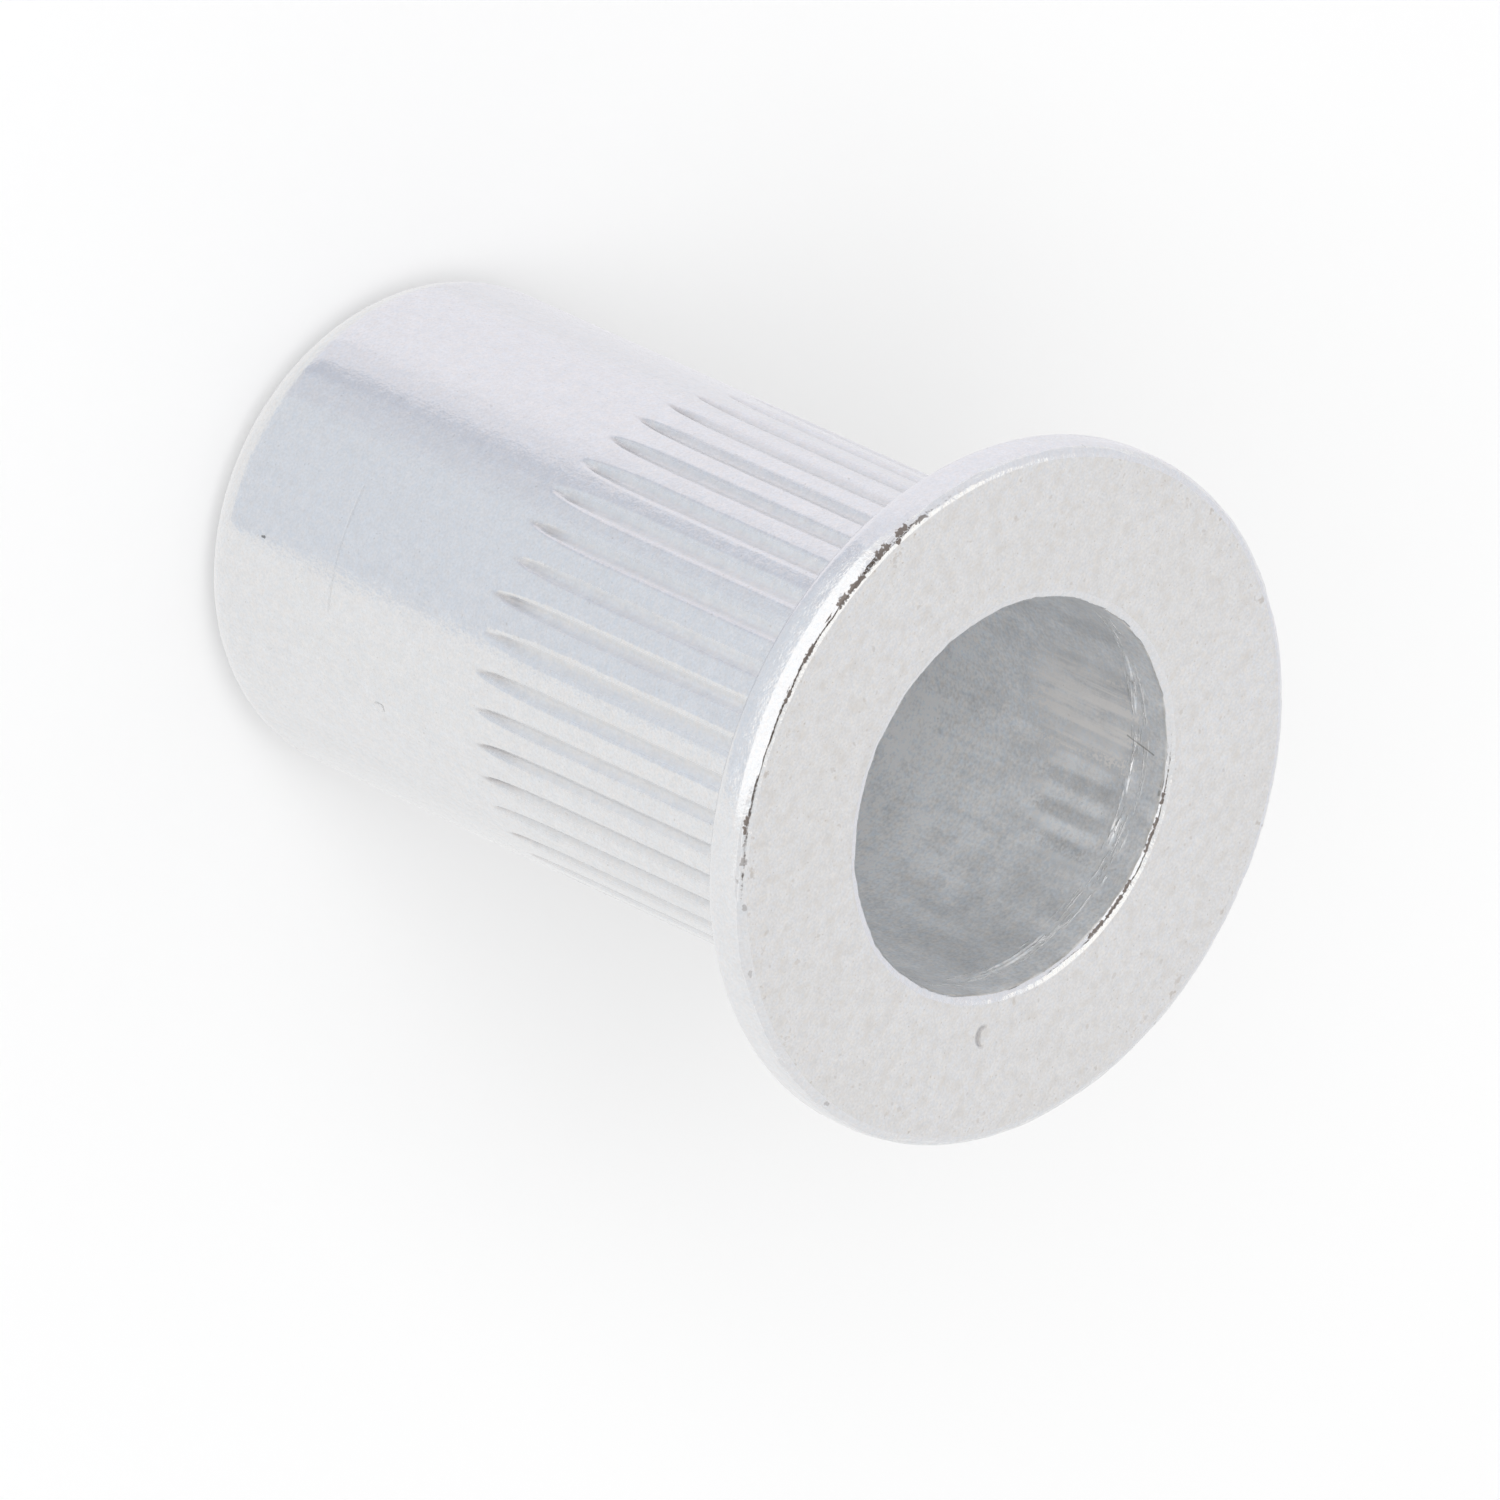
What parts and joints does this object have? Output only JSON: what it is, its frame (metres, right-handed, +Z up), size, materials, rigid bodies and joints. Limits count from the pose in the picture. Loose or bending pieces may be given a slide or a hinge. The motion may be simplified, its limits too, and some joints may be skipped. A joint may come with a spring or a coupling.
{
  "type": "rivet nut",
  "caption": "Open-end rivet nut with a thin flat round head, straight-fluted cylindrical shank, rounded tail, wide thin-walled bore and tapped tail.",
  "frame": {"origin": "centre of the tail's end face, which the nut stands on", "axes": "+Z up along the axis, from the tail to the head; +X through the middle of one flute"},
  "size_m": [0.0128, 0.0128, 0.0168],
  "materials": {
    "aluminium": "satin, cold formed and tumbled, brighter on the head's rim"
  },
  "bodies": {
    "root": {"rivet_nut": "aluminium"}
  },
  "joints": []
}
